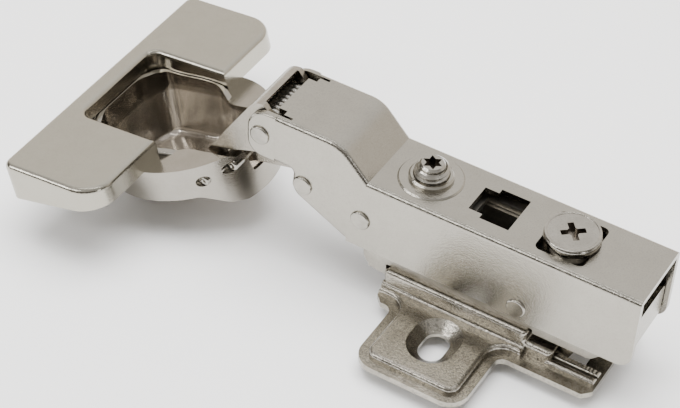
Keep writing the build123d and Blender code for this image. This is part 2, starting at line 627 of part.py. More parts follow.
def make_lever_spring():
    half = LEVER_WIDTH / 2 - LEVER_SHEET - 0.4
    spring = coil(LEVER_WIRE_R, LEVER_COIL_R, LEVER_TURNS, half)
    spring = Pos(LEVER_PIN[0], 0, LEVER_PIN[1]) * spring
    leg_y = half - LEVER_WIRE_R
    rise = Pos(LEVER_PIN[0] + LEVER_COIL_R, leg_y, LEVER_PIN[1] + LEVER_SPRING_LEG / 2)
    return spring + rise * Cylinder(LEVER_WIRE_R, LEVER_SPRING_LEG)


def link_place(start, end):
    """Frame at start with +X towards end, both (x, z)."""
    angle = degrees(atan2(end[1] - start[1], end[0] - start[0]))
    return Pos(start[0], 0, start[1]) * Rot(0, -angle, 0)


def make_outer_link():
    cup_pin = cup_to_row(*CUP_OUTER_PIN)
    length = hypot(cup_pin[0] - OUTER_PIN[0], cup_pin[1] - OUTER_PIN[1])
    web = OUTER_WEB_OFFSET
    half = OUTER_LINK_WIDTH / 2
    edge_x = length - WEB_SHORT
    outside = rounded(
        [WEB_TAIL, (-3.4, -web - 0.5), (WEB_BEND_X, -web), (edge_x, -web + WEB_TIP_RISE),
         (edge_x, -2.3), (length - 4.3, -2.0), (length - 8.6, 0.6), (4.5, 3.2), (-1.0, 3.4), (-3.6, 1.0)],
        [0, 3.4, WEB_BEND_R, 0, 0.6, 1.2, 2.5, 2.0, 2.0, 1.5])
    eye = Pos(length, 0) * Circle(OUTER_EYE_R)
    neck = make_face(Polyline(
        (length - 4.6, -2.4), (length - 0.4, -2.6), (length + 0.9, -1.6), (length - 0.6, 1.9),
        (length - 2.0, 0.9), close=True))
    flange = outside + eye + neck
    body = across(flange, half)
    core = rounded(
        [(-7.0, WEB_TAIL[1]), (-3.2, -web - 0.4 + LINK_SHEET), (WEB_BEND_X, -web + LINK_SHEET),
         (edge_x + 4, -web + WEB_TIP_RISE + LINK_SHEET + 0.3), (edge_x + 4, 9), (-7.0, 9)],
        [0, 2.4, WEB_BEND_R, 0, 0, 0])
    body -= across(core, half - LINK_SHEET)
    body -= Pos(length, 0, 0) * bore((0, 0), CUP_PIN_R + RUN)
    body -= bore((0, 0), PIN_R + RUN)
    return link_place(OUTER_PIN, cup_pin) * body


def make_inner_link():
    cup_pin = cup_to_row(*CUP_INNER_PIN)
    length = hypot(INNER_PIN[0] - cup_pin[0], INNER_PIN[1] - cup_pin[1])
    shank = Pos(length / 2, 0) * Rectangle(length, INNER_WAIST)
    slot_length = HUB_SLOT_AHEAD + HUB_SLOT_BEHIND + HUB_SLOT_WIDTH
    middle = (HUB_SLOT_AHEAD - HUB_SLOT_BEHIND) / 2
    hub_place = Pos(length, 0) * Rot(0, 0, HUB_SLOT_ANGLE) * Pos(middle, HUB_SLOT_SHIFT)
    hub = hub_place * SlotOverall(slot_length + 2 * HUB_WALL, HUB_SLOT_WIDTH + 2 * HUB_WALL)
    heel_turn = radians(HEEL_ANGLE) - atan2(INNER_PIN[1] - cup_pin[1], INNER_PIN[0] - cup_pin[0])
    heel = (length + HEEL_REACH * cos(heel_turn), HEEL_REACH * sin(heel_turn))
    flat = Circle(INNER_EYE_R) + shank + hub + Pos(*heel) * Circle(HEEL_R)
    mid = ((length + heel[0]) / 2, heel[1] / 2)
    flat += Pos(*mid) * Rot(0, 0, degrees(heel_turn)) * Rectangle(HEEL_REACH, 2 * HEEL_R)
    body = across(flat, INNER_LINK_WIDTH / 2)
    body -= bore((0, 0), CUP_PIN_R + RUN)
    body -= across(hub_place * SlotOverall(slot_length, HUB_SLOT_WIDTH), INNER_LINK_WIDTH)
    return link_place(cup_pin, INNER_PIN) * body


def make_closing_spring():
    half = OUTER_LINK_WIDTH / 2 - LINK_SHEET - 0.2
    spring = Pos(OUTER_PIN[0], 0, OUTER_PIN[1]) * coil(SPRING_WIRE_R, SPRING_COIL_R, SPRING_TURNS, half)
    leg_y = half - SPRING_WIRE_R
    leg = Pos(OUTER_PIN[0] + SPRING_LEG / 2, leg_y, OUTER_PIN[1] + SPRING_COIL_R) * Rot(0, 90, 0)
    return spring + leg * Cylinder(SPRING_WIRE_R, SPRING_LEG)


def make_damper_cylinder():
    barrel = Rot(0, 90, 0) * Cylinder(DAMPER_R, DAMPER_REAR - DAMPER_FRONT)
    barrel = chamfer(barrel.edges().filter_by(GeomType.CIRCLE), 0.4)
    barrel = Pos((DAMPER_REAR + DAMPER_FRONT) / 2, 0, DAMPER_Z) * barrel
    barrel += bar(DAMPER_PIN, DAMPER_EYE_R, -DAMPER_EYE_WIDTH / 2, DAMPER_EYE_WIDTH / 2)
    chamber = Rot(0, 90, 0) * Cylinder(DAMPER_ROD_R + RUN, 2 * (DAMPER_TRAVEL + 1.6))
    barrel -= Pos(DAMPER_FRONT, 0, DAMPER_Z) * chamber
    return barrel - bore(DAMPER_PIN, PIN_R + SEAT)


def make_damper_rod():
    head_back = DAMPER_FRONT - DAMPER_TRAVEL - FREE
    head = Rot(0, 90, 0) * Cylinder(DAMPER_HEAD_R, DAMPER_HEAD_H)
    head = Pos(head_back - DAMPER_HEAD_H / 2, 0, DAMPER_Z) * head
    end = DAMPER_FRONT + 1.2
    rod = Rot(0, 90, 0) * Cylinder(DAMPER_ROD_R, end - head_back + 0.4)
    return head + Pos((end + head_back - 0.4) / 2, 0, DAMPER_Z) * rod


def well_plan(sizes, grow):
    """Plan outline of the cup's well in (u, v) at its mouth or its floor, grown by the sheet."""
    back, side, neck = sizes["back"] + grow, sizes["side"] + grow, sizes["neck"] + grow
    half = [(-back, sizes["back_half"] + 0.3 * grow), (-sizes["corner"] - 0.6 * grow, side),
            (NECK_START, side), (NECK_END, neck), (SKIRT_R + 3, neck)]
    points = half + [(u, -v) for u, v in reversed(half)]
    bend = [8.0, 3.2 + grow, 5.0, 5.0, 0]
    return rounded(points, bend + bend[::-1])


def cup_well(grow):
    """The pan of the cup below the door face as a solid, grown by the sheet."""
    floor = -CUP_DEPTH + CUP_SHEET - grow
    pan = loft([Pos(0, 0, floor) * well_plan(WELL_FLOOR, grow), well_plan(WELL_MOUTH, grow)], ruled=True)
    bottom = pan.faces().sort_by(Axis.Z)[0]
    edges = [e for e in bottom.edges() if e.center().X < SKIRT_R]
    return fillet(edges, WELL_FLOOR_RADIUS + grow)


def bead_block(grow, rise):
    """The rolled rim round the well's mouth as a solid block, grown in plan and in height."""
    back = WELL_MOUTH["back"]
    crest = Spline(
        (-CUP_R - 3, BEAD_BACK + rise), (-back, BEAD_BACK + rise), (-back + 4, BEAD_CORNER + rise),
        (-back + 10, BEAD_SIDE + rise), (BEAD_END, rise))
    foot = Polyline(crest @ 1, (BEAD_END, -1), (-CUP_R - 3, -1), crest @ 0)
    side = make_face(Wire([*crest.edges(), *foot.edges()]))
    plan = extrude(well_plan(WELL_MOUTH, grow), BEAD_BACK + rise + 1)
    return plan & across(side, CUP_R + 3)


def make_cup():
    skirt_inner = SKIRT_R - CUP_SHEET
    barrel = Pos(0, 0, -CUP_DEPTH / 2) * Cylinder(SKIRT_R, CUP_DEPTH)
    ring = barrel - Pos(0, 0, -CUP_DEPTH / 2) * Cylinder(skirt_inner, CUP_DEPTH + 1)
    slope = 0.45 * SKIRT_SHALLOW_HALF + 0.55 * SKIRT_DEEP_HALF
    lip = [(CUP_R + 1, 0), (CUP_R + 1, -SKIRT_DEPTH), (SKIRT_SHALLOW_HALF, -SKIRT_DEPTH),
           (slope, -CUP_DEPTH + 1.2), (SKIRT_DEEP_HALF, -CUP_DEPTH)]
    trim = rounded(lip + [(-v, n) for v, n in reversed(lip)], [0, 0, 2.0, 3.0, 1.0] + [1.0, 3.0, 2.0, 0, 0])
    front = extrude(Plane.YZ * trim, CUP_R + 1)
    back = Pos(-CUP_R, 0, -SKIRT_DEPTH / 2) * Box(2 * CUP_R, 4 * CUP_R, SKIRT_DEPTH)
    ledge = Pos(0, 0, -CUP_SHEET / 2) * Cylinder(CUP_R, CUP_SHEET)
    wing = Pos((FLANGE_BACK + FLANGE_FRONT) / 2, 0, 0) * RectangleRounded(
        FLANGE_FRONT - FLANGE_BACK, 2 * FLANGE_HALF, (FLANGE_FRONT - FLANGE_BACK) * 0.45)
    pad = Circle(CUP_R + CUP_SHEET) & Pos(FLANGE_FRONT - 50, 0) * Rectangle(100, 100)
    bead = bead_block(BEAD_WIDTH, 0.0)
    crown = bead.faces().sort_by(Axis.Z)[-1]
    bead = fillet(crown.outer_wire().edges().filter_by(lambda e: e.center().X < BEAD_END - 0.5), BEAD_ROUND)
    cup = (cup_well(CUP_SHEET) & barrel) + (ring & front) + (ring & back) + ledge
    cup = cup + extrude(wing + pad, FLANGE_SHEET) + bead
    inside = Cylinder(skirt_inner, 60)
    cup -= cup_well(0.0) & inside
    cup -= extrude(well_plan(WELL_MOUTH, 0.0), BEAD_BACK + 1) & inside

    half_mouth = [(MOUTH_TOP_HALF, 0.1), (MOUTH_TOP_HALF - 2.0, MOUTH_SHOULDER),
                  (MOUTH_WAIST + 0.5, MOUTH_SHOULDER), (MOUTH_WAIST, MOUTH_FLOOR / 2), (MOUTH_HALF, MOUTH_FLOOR)]
    mouth = rounded(half_mouth + [(-v, n) for v, n in reversed(half_mouth)],
                    [0, 0.8, 0.5, 0, 0.6, 0.6, 0, 0.5, 0.8, 0])
    cup -= Pos(skirt_inner - 4, 0, 0) * extrude(Plane.YZ * mouth, 8)
    cup -= bore(CUP_OUTER_PIN, CUP_PIN_R + SEAT)
    cup -= bore(CUP_INNER_PIN, CUP_PIN_R + SEAT)
    for side in (-1, 1):
        cup -= Pos(CUP_HOLE_OFFSET, side * CUP_HOLE_SPACING / 2, 0) * Cylinder(CUP_HOLE_R, 6)
    return CUP_PLACE * cup


def make_cup_pin(place):
    half = sqrt(SKIRT_R ** 2 - place[0] ** 2) - CUP_PIN_SINK
    pin = bar(place, CUP_PIN_R, -half, half)
    pin = chamfer(pin.edges().filter_by(GeomType.CIRCLE), 0.25)
    return CUP_PLACE * pin


def cover_block(grow):
    """Wedge of the cover in the cup's frame; grow is negative for the space inside."""
    length = COVER_FRONT - COVER_BACK + 2 * grow
    centre = (COVER_FRONT + COVER_BACK) / 2
    plan = Pos(centre, 0) * Rectangle(length, 2 * (COVER_HALF + grow))
    front = plan.vertices().sort_by(Axis.X)[-2:]
    plan = fillet(front, COVER_FRONT_RADIUS + grow)
    back = plan.vertices().sort_by(Axis.X)[:2]
    plan = fillet(back, COVER_BACK_RADIUS + grow)
    body = extrude(Pos(0, 0, -1) * plan, COVER_BACK_TOP + 3)
    fall = (COVER_BACK_TOP - COVER_FRONT_TOP) / (COVER_FRONT - COVER_BACK)
    low, high = COVER_BACK - 3, COVER_FRONT + 3
    wedge = across(make_face(Polyline(
        (low, -2), (low, COVER_BACK_TOP + 3 * fall + grow), (high, COVER_FRONT_TOP - 3 * fall + grow),
        (high, -2), close=True)), COVER_HALF + 5)
    return body & wedge


def make_cup_cover():
    solid = cover_block(0.0) & Pos(0, 0, 50) * Box(200, 200, 100)
    cut_depth = COVER_FRONT - COVER_CUT_BACK + 5
    cut = Pos(COVER_CUT_BACK + cut_depth / 2, 0) * Rectangle(cut_depth, 2 * COVER_CUT_HALF)
    cut = fillet(cut.vertices().sort_by(Axis.X)[:2], COVER_CUT_RADIUS)
    solid -= extrude(Pos(0, 0, -1) * cut, 20)
    top = solid.faces().sort_by(Axis.Z)[-1]
    solid = fillet(top.outer_wire().edges(), COVER_EDGE_RADIUS)
    wall_half = COVER_CUT_HALF + COVER_SHEET
    guard = Pos(COVER_CUT_BACK - COVER_SHEET + cut_depth / 2, 0) * Rectangle(cut_depth, 2 * wall_half)
    guard = fillet(guard.vertices().sort_by(Axis.X)[:2], COVER_CUT_RADIUS + COVER_SHEET)
    inside = cover_block(-COVER_SHEET) - extrude(Pos(0, 0, -2) * guard, 20)
    cover = solid - inside
    pad = Circle(CUP_R + CUP_SHEET + COVER_GAP) & Pos(FLANGE_FRONT + COVER_GAP - 50, 0) * Rectangle(100, 100)
    clear = extrude(pad, FLANGE_SHEET + COVER_GAP) + bead_block(BEAD_WIDTH + COVER_GAP, COVER_GAP)
    return CUP_PLACE * (cover - clear)


def write(node, shape):
    """One STEP file per piece, of plain solids."""
    solids = shape.solids()
    result = solids[0] if len(solids) == 1 else Compound(children=list(solids))
    result.label = node
    export_step(result, f"parts/{node}.step")


arm_half = ARM_WIDTH / 2
pieces = {
    "mounting_plate": make_mounting_plate(),
    "carrier": make_carrier(),
    "adjuster_bracket": make_adjuster_bracket(),
    "arm": make_arm(),
    "side_nut": make_side_nut(),
    "side_screw": make_side_screw(),
    "depth_screw": make_depth_screw(),
    "clip_lever": make_clip_lever(),
    "lever_pin": make_lever_pin(),
    "lever_spring": make_lever_spring(),
    "rear_rivet": riveted_pin(TILT_PIN, PIN_R, arm_half, RIVET_HEAD_R, RIVET_HEAD_H),
    "outer_link_pin": riveted_pin(OUTER_PIN, PIN_R, arm_half, RIVET_HEAD_R, RIVET_HEAD_H),
    "inner_link_pin": riveted_pin(INNER_PIN, PIN_R, arm_half, RIVET_HEAD_R, RIVET_HEAD_H),
    "damper_pin": riveted_pin(DAMPER_PIN, PIN_R, arm_half, RIVET_HEAD_R, RIVET_HEAD_H),
    "outer_link": make_outer_link(),
    "inner_link": make_inner_link(),
    "closing_spring": make_closing_spring(),
    "damper_cylinder": make_damper_cylinder(),
    "damper_rod": make_damper_rod(),
    "cup": make_cup(),
    "cup_outer_pin": make_cup_pin(CUP_OUTER_PIN),
    "cup_inner_pin": make_cup_pin(CUP_INNER_PIN),
    "cup_cover": make_cup_cover(),
}
for node, shape in pieces.items():
    write(node, shape)
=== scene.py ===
# Dresses the concealed cup hinge: the plating of its pieces, the screws' thread and rims, the upset
# ends of the cup's pins, the plate's teeth, the studio and the camera. Blender's lengths are in
# metres, in the hinge's own frame: the origin lies on the cabinet panel midway between the plate's
# two screws, X runs to the release lever and Z away from the panel. The sizes of the pieces are
# written in millimetres, those of the studio and the heights of bumps in metres.

import logging
import math
from dataclasses import dataclass
from enum import Enum
from typing import Iterable, Optional, Sequence, Union

import bmesh
import bpy
from mathutils import Matrix, Vector

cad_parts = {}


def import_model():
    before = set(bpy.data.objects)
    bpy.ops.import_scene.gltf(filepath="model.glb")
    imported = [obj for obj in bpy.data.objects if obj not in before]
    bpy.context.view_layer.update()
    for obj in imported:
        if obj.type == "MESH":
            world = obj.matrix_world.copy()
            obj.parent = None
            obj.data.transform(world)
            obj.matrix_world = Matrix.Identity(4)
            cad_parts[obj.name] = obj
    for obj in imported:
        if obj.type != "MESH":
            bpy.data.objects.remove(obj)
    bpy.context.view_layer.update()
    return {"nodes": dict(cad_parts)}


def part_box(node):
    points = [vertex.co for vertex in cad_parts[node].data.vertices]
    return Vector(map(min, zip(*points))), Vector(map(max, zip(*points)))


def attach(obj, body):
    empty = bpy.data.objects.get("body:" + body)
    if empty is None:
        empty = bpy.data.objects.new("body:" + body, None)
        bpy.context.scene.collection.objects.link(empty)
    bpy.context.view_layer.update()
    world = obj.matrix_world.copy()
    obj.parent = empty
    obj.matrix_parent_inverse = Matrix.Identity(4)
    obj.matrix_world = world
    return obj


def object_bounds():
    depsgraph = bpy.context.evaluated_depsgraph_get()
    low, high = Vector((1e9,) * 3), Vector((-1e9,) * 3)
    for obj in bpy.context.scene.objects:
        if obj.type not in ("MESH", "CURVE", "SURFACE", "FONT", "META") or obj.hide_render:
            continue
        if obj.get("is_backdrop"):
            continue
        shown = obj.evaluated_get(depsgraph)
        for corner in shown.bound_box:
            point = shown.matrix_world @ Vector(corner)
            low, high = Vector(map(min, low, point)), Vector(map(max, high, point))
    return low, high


MM = 0.001
NOISE_MEAN = 0.5
MIX_SHARE, MIX_LOW, MIX_HIGH, MIX_RESULT = 0, 6, 7, 2    # the Mix node's sockets for colours

Colour = tuple[float, float, float]
Pair = tuple[float, float]

log = logging.getLogger("cup_hinge")


def opaque(colour: Colour, factor: float = 1.0) -> tuple[float, float, float, float]:
    """A colour times a factor, with full alpha."""
    red, green, blue = (factor * part for part in colour)
    return red, green, blue, 1.0


def metres(sizes: Iterable[float]) -> list[float]:
    """Sizes in millimetres as metres."""
    return [size * MM for size in sizes]


# ---------------------------------------------------------------- shader maths


class Wire:
    """One socket of a node tree, on which Python's operators add Math nodes."""

    def __init__(self, graph: "Graph", socket: bpy.types.NodeSocket) -> None:
        """Keeps the graph and its socket.

        Args:
            graph: the graph that the socket belongs to.
            socket: an output socket.
        """
        self.graph = graph
        self.socket = socket

    def _math(self, operation: str, *values: Union["Wire", float], clamp: bool = False) -> "Wire":
        """Adds one Math node.

        Args:
            operation: the Math node's operation.
            values: the node's inputs, wires or numbers.
            clamp: whether the result is held between 0 and 1.

        Returns:
            The node's result.
        """
        return self.graph.wire("ShaderNodeMath", {"operation": operation, "use_clamp": clamp},
                               dict(enumerate(values)))

    def __add__(self, other: Union["Wire", float]) -> "Wire":
        """Sum."""
        return self._math("ADD", self, other)

    def __radd__(self, other: float) -> "Wire":
        """Sum, reflected."""
        return self._math("ADD", other, self)

    def __sub__(self, other: Union["Wire", float]) -> "Wire":
        """Difference."""
        return self._math("SUBTRACT", self, other)

    def __rsub__(self, other: float) -> "Wire":
        """Difference, reflected."""
        return self._math("SUBTRACT", other, self)

    def __mul__(self, other: Union["Wire", float]) -> "Wire":
        """Product."""
        return self._math("MULTIPLY", self, other)

    def __rmul__(self, other: float) -> "Wire":
        """Product, reflected."""
        return self._math("MULTIPLY", other, self)

    def __truediv__(self, other: Union["Wire", float]) -> "Wire":
        """Quotient."""
        return self._math("DIVIDE", self, other)

    def step(self, low: float, high: float) -> "Wire":
        """Smooth rise from 0 at low to 1 at high.

        Args:
            low: the value below which the result is 0.
            high: the value above which the result is 1.

        Returns:
            The smoothed share.
        """
        return self.graph.wire("ShaderNodeMapRange", {"interpolation_type": "SMOOTHSTEP"},
                               {"Value": self, "From Min": low, "From Max": high}, "Result")

    def mixed(self, other: "Wire", share: float) -> "Wire":
        """This value with a share of another in it."""
        return self * (1.0 - share) + other * share

    def clamped(self) -> "Wire":
        """The value held between 0 and 1."""
        return self._math("ADD", self, 0.0, clamp=True)


Input = Union[Wire, float, Sequence[float]]


@dataclass(frozen=True)
class Pattern:
    """One noise: cycles per metre, octaves, and how strong the finer octaves are."""

    scale: float
    detail: float = 2.0
    rough: float = 0.5


class Graph:
    """A node tree, with one method that adds every node and short ways to use it."""

    def __init__(self, tree: bpy.types.NodeTree) -> None:
        """Keeps the tree.

        Args:
            tree: the node tree.
        """
        self.tree = tree

    def join(self, slot: bpy.types.NodeSocket, value: Input) -> None:
        """Sets an input to a number or links it.

        Args:
            slot: the input.
            value: a wire, a number or a colour.
        """
        if isinstance(value, Wire):
            self.tree.links.new(value.socket, slot)
        else:
            slot.default_value = value

    def add(self, kind: str, settings: Optional[dict] = None,
            inputs: Optional[dict] = None) -> bpy.types.Node:
        """Adds any node, sets it up and fills its inputs.

        Args:
            kind: the node's type.
            settings: attributes of the node, set first.
            inputs: values or wires by the input's name or number.

        Returns:
            The new node.
        """
        made = self.tree.nodes.new(kind)
        for key, value in (settings or {}).items():
            setattr(made, key, value)
        for key, value in (inputs or {}).items():
            self.join(made.inputs[key], value)
        return made

    def wire(self, kind: str, settings: Optional[dict] = None, inputs: Optional[dict] = None,
             output: Union[int, str] = 0) -> Wire:
        """Adds any node and takes one of its outputs.

        Args:
            kind: the node's type.
            settings: attributes of the node, set first.
            inputs: values or wires by the input's name or number.
            output: which output is returned.

        Returns:
            The chosen output.
        """
        return Wire(self, self.add(kind, settings, inputs).outputs[output])

    def axes(self, vector: Wire) -> list[Wire]:
        """Splits a vector.

        Args:
            vector: the vector.

        Returns:
            Its x, y and z.
        """
        split = self.add("ShaderNodeSeparateXYZ", inputs={"Vector": vector})
        return [Wire(self, output) for output in split.outputs]

    def blend(self, share: Input, low: Input, high: Input) -> Wire:
        """Mixes two colours.

        Args:
            share: 0 gives low, 1 gives high.
            low: a colour.
            high: a colour.

        Returns:
            The mixed colour.
        """
        return self.wire("ShaderNodeMix", {"data_type": "RGBA"},
                         {MIX_SHARE: share, MIX_LOW: low, MIX_HIGH: high}, MIX_RESULT)


class Shader(Graph):
    """A material's node tree with a Principled surface, and short ways to add to it."""

    def __init__(self, name: str) -> None:
        """Makes the material.

        Args:
            name: the material's name.
        """
        self.material = bpy.data.materials.new(name)
        self.material.use_nodes = True
        super().__init__(self.material.node_tree)
        self.tree.nodes.clear()
        self.surface = self.add("ShaderNodeBsdfPrincipled")
        self.add("ShaderNodeOutputMaterial",
                 inputs={"Surface": Wire(self, self.surface.outputs["BSDF"])})
        self.place = self.wire("ShaderNodeTexCoord", output="Object")

    def set(self, **values: Input) -> None:
        """Sets the surface's inputs, with underscores for the spaces in their names."""
        for key, value in values.items():
            self.join(self.surface.inputs[key.replace("_", " ")], value)

    def noise(self, pattern: Pattern, place: Optional[Wire] = None) -> Wire:
        """Noise about its mean on the object's own coordinates.

        Args:
            pattern: the noise.
            place: other coordinates, where the pattern is stretched.

        Returns:
            The noise's value, 0 to 1.
        """
        return self.wire("ShaderNodeTexNoise", None,
                         {"Vector": place or self.place, "Scale": pattern.scale,
                          "Detail": pattern.detail, "Roughness": pattern.rough})

    def stretched(self, scale: Sequence[float]) -> Wire:
        """The object's coordinates, stretched by factors along the axes."""
        return self.wire("ShaderNodeMapping", None, {"Vector": self.place, "Scale": scale})

    def bump(self, height: Wire, distance: float, strength: float = 1.0,
             under: Optional[Wire] = None) -> Wire:
        """A surface normal from a height.

        Args:
            height: the height, 0 to 1.
            distance: what 1 stands for, in metres.
            strength: the bump's strength.
            under: an earlier normal that this one adds to.

        Returns:
            The normal.
        """
        inputs = {"Height": height, "Distance": distance, "Strength": strength}
        if under is not None:
            inputs["Normal"] = under
        return self.wire("ShaderNodeBump", None, inputs)


# ---------------------------------------------------------------- finishes


@dataclass(frozen=True)
class PlatedSteel:
    """Nickel plating on pressed steel: a warm bright metal with rolling grain and fine scuffs.

    The tone runs from shade to tint by patches (mottle) and large clouds. Dark flecks lie on it,
    pits make it duller, and a ripple, the grain and a fine peel make its relief.
    """

    name: str
    tint: Colour
    shade: Colour
    roughness: float
    roughness_spread: float = 0.1
    roughness_mottle: float = 0.4
    mottle: Pattern = Pattern(260.0, 4.0, 0.6)
    cloud: Pattern = Pattern(70.0)
    tone_cloud: float = 0.4
    tone_band: Pair = (0.32, 0.68)
    pit: Pattern = Pattern(5200.0, 2.0, 0.7)
    pit_band: Pair = (0.70, 0.82)
    pit_roughness: float = 0.1
    fleck: Pattern = Pattern(2880.0, 2.0, 0.6)
    fleck_band: Pair = (0.5, 0.64)
    fleck_tone: float = 0.3
    speckle: float = 0.06
    grain: Pattern = Pattern(1.0, 3.0, 0.65)
    grain_stretch: tuple[float, float, float] = (120.0, 2600.0, 2600.0)
    grain_height: float = 0.0000012
    ripple_mottle: float = 0.3
    ripple_height: float = 0.000012
    peel: Pattern = Pattern(3600.0, 3.0, 0.6)
    peel_height: float = 0.000008

    def make(self) -> bpy.types.Material:
        """Builds the material.

        Returns:
            The new material.
        """
        shader = Shader(self.name)
        mottle = shader.noise(self.mottle)
        cloud = shader.noise(self.cloud)
        grain = shader.noise(self.grain, shader.stretched(self.grain_stretch))
        pits = shader.noise(self.pit).step(*self.pit_band)
        tone = mottle.mixed(cloud, self.tone_cloud).step(*self.tone_band)
        scuff = grain.mixed(mottle, self.roughness_mottle) - NOISE_MEAN
        rough = self.roughness + self.roughness_spread * scuff + self.pit_roughness * pits
        colour = shader.blend(tone, opaque(self.shade), opaque(self.tint))
        fleck = shader.noise(self.fleck).step(*self.fleck_band)
        colour = shader.blend(fleck * self.speckle, colour, opaque(self.shade, self.fleck_tone))
        ripple = shader.bump(cloud.mixed(mottle, self.ripple_mottle), self.ripple_height)
        rolled = shader.bump(grain, self.grain_height, under=ripple)
        peeled = shader.bump(shader.noise(self.peel), self.peel_height, under=rolled)
        # painted light and shade, where a finish has any, are laid on the colour here
        shader.set(Base_Color=self.with_painted_light(shader, colour), Metallic=1.0, Roughness=rough.clamped(),
                   Normal=peeled)
        return shader.material

    def with_painted_light(self, shader: Shader, colour: Wire) -> Wire:
        """The plating's colour with painted light and shade laid over it; here there is none.

        Args:
            shader: the material that is being made.
            colour: the plating's colour.

        Returns:
            The colour to use.
        """
        return colour


@dataclass(frozen=True, kw_only=True)
class RecessedSteel(PlatedSteel):
    """Plating on an upright screw, with painted shade inside the recess cut in the screw's head."""

    recess_at: Pair
    recess_top: float
    recess_reach: float = 2.8
    recess_lip: Pair = (0.4, 0.02)
    recess_fade: Pair = (0.92, 1.0)
    # painted shade: the dark colour laid into the screw's recess, where shadow falls
    recess_painted_shade: Colour = (0.20, 0.18, 0.155)

    def with_painted_light(self, shader: Shader, colour: Wire) -> Wire:
        """Paints shade into the recess, below its lip and inside its reach.

        Args:
            shader: the material that is being made.
            colour: the plating's colour.

        Returns:
            The colour to use.
        """
        across, along, height = shader.axes(shader.place)
        across, along = across - self.recess_at[0] * MM, along - self.recess_at[1] * MM
        reach = (across * across + along * along) / (self.recess_reach * MM) ** 2
        below = 1.0 - height.step(*metres(self.recess_top - depth for depth in self.recess_lip))
        inside = 1.0 - reach.step(*self.recess_fade)
        # painted shade: the colour is blended to the dark colour below the recess's lip and inside
        # its reach
        return shader.blend(below * inside, colour, opaque(self.recess_painted_shade))


@dataclass(frozen=True)
class CupSteel(PlatedSteel):
    """Plating on the drawn cup, with painted light on the well's walls, streaked, and painted shade
    on its floor. The bands of depth are counted from the cup's flange, down negative."""

    centre: Pair = (-66.35, 12.65)
    tilt: float = 15.62
    well_radius: float = 16.6
    well_fade: Pair = (0.94, 1.0)
    rim_band: Pair = (-1.4, -0.7)
    floor_band: Pair = (-10.4, -8.6)
    # painted light and painted shade: the colours laid on the well's walls and on its floor
    painted_wall_light: Colour = (0.72, 0.685, 0.63)
    painted_floor_shade: Colour = (0.40, 0.36, 0.31)
    streak: Pattern = Pattern(1.0)
    streak_stretch: tuple[float, float, float] = (420.0, 420.0, 60.0)
    streak_band: Pair = (0.3, 0.7)
    streak_tone: float = 0.74

    def with_painted_light(self, shader: Shader, colour: Wire) -> Wire:
        """Paints light onto the well's walls and shade onto its floor.

        Args:
            shader: the material that is being made.
            colour: the plating's colour.

        Returns:
            The colour to use.
        """
        across, along, height = shader.axes(shader.place)
        across, height = across - self.centre[0] * MM, height - self.centre[1] * MM
        turn = math.radians(self.tilt)
        level = across * math.cos(turn) + height * math.sin(turn)
        depth = height * math.cos(turn) - across * math.sin(turn)
        reach = (level * level + along * along) / (self.well_radius * MM) ** 2
        inside = (1.0 - reach.step(*self.well_fade)) * (1.0 - depth.step(*metres(self.rim_band)))
        streak = shader.noise(self.streak, shader.stretched(self.streak_stretch))
        # painted light on the well's walls, streaked
        walls = shader.blend(streak.step(*self.streak_band), opaque(self.painted_wall_light, self.streak_tone),
                             opaque(self.painted_wall_light))
        # painted shade on the well's floor, below the floor band
        well = shader.blend(depth.step(*metres(self.floor_band)), opaque(self.painted_floor_shade), walls)
        return shader.blend(inside, colour, well)


@dataclass(frozen=True)
class DrawnWire:
    """Plated spring wire or pin: fine grain over cloudy plating, duller than the sheet."""

    name: str
    tint: Colour
    roughness: float = 0.28
    roughness_spread: float = 0.16
    dark_tone: float = 0.8
    cloud: Pattern = Pattern(500.0)
    cloud_band: Pair = (0.3, 0.7)
    grain: Pattern = Pattern(2400.0, 3.0, 0.6)
    grain_height: float = 0.000002

    def make(self) -> bpy.types.Material:
        """Builds the material.

        Returns:
            The new material.
        """
        shader = Shader(self.name)
        grain = shader.noise(self.grain)
        cloud = shader.noise(self.cloud).step(*self.cloud_band)
        rough = self.roughness + self.roughness_spread * (grain - NOISE_MEAN)
        colour = shader.blend(cloud, opaque(self.tint, self.dark_tone), opaque(self.tint))
        shader.set(Base_Color=colour, Metallic=1.0, Roughness=rough.clamped(),
                   Normal=shader.bump(grain, self.grain_height))
        return shader.material


@dataclass(frozen=True)
class MouldedPlastic:
    """Grey moulded plastic with a fine spark-eroded texture."""

    name: str
    tint: Colour = (0.20, 0.20, 0.205)
    roughness: float = 0.45
    roughness_spread: float = 0.2
    dark_tone: float = 0.85
    grain: Pattern = Pattern(3200.0, 3.0, 0.6)
    grain_height: float = 0.00001
    grain_strength: float = 0.5

    def make(self) -> bpy.types.Material:
        """Builds the material.

        Returns:
            The new material.
        """
        shader = Shader(self.name)
        grain = shader.noise(self.grain)
        rough = self.roughness + self.roughness_spread * (grain - NOISE_MEAN)
        colour = shader.blend(grain, opaque(self.tint, self.dark_tone), opaque(self.tint))
        shader.set(Base_Color=colour, Roughness=rough.clamped(),
                   Normal=shader.bump(grain, self.grain_height, self.grain_strength))
        return shader.material


@dataclass(frozen=True)
class PaleFloor:
    """The studio's matt pale floor."""

    name: str
    tint: Colour = (0.92, 0.92, 0.92)
    roughness: float = 0.85
    roughness_spread: float = 0.05
    cloud: Pattern = Pattern(3.0)

    def make(self) -> bpy.types.Material:
        """Builds the material.

        Returns:
            The new material.
        """
        shader = Shader(self.name)
        rough = self.roughness + self.roughness_spread * shader.noise(self.cloud)
        shader.set(Base_Color=opaque(self.tint), Roughness=rough.clamped())
        return shader.material


